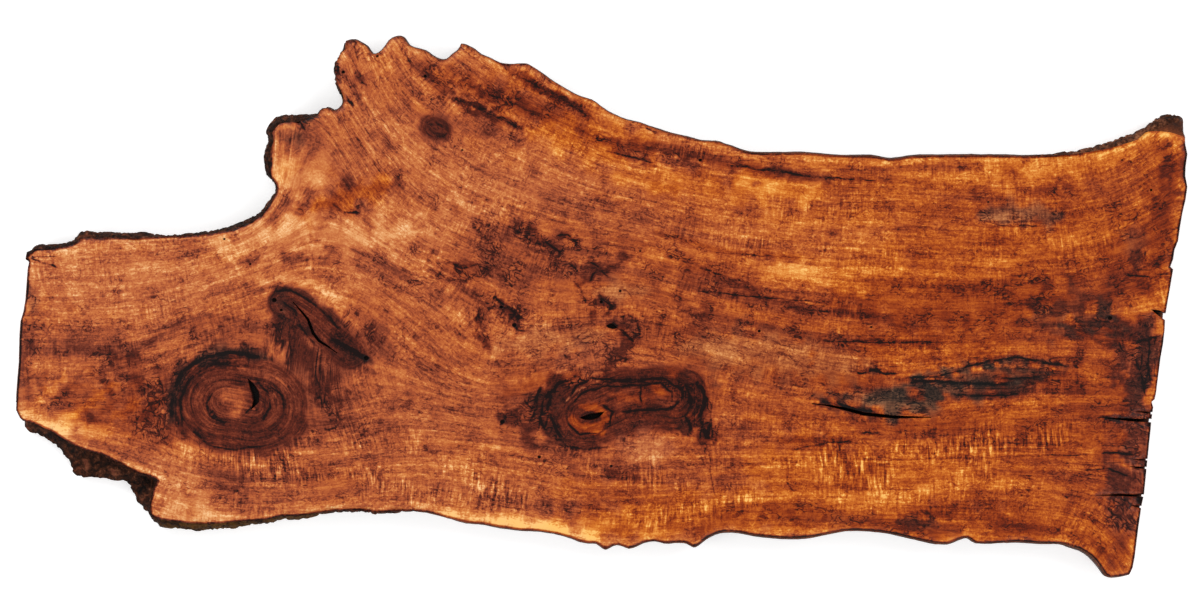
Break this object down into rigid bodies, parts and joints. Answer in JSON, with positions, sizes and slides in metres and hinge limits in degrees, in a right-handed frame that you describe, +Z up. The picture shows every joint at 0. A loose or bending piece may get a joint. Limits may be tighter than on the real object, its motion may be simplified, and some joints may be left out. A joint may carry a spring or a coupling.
{
  "type": "walnut wood slab",
  "caption": "Live-edge walnut slab cut at a fork of the trunk, with a narrow neck, a wavy grown edge, strips of bark, knots and end checks, sanded flat on top and below.",
  "frame": {"origin": "under the middle of the slab's box, on the plane that it rests on", "axes": "+X along the slab from the narrow neck to the wide sawn end, +Y towards the forked lobes, +Z up out of the sanded face"},
  "size_m": [1.5, 0.6958, 0.05],
  "materials": {
    "oiled_walnut": "sanded and oiled, satin"
  },
  "bodies": {
    "root": {"walnut_slab": "oiled_walnut"}
  },
  "joints": []
}
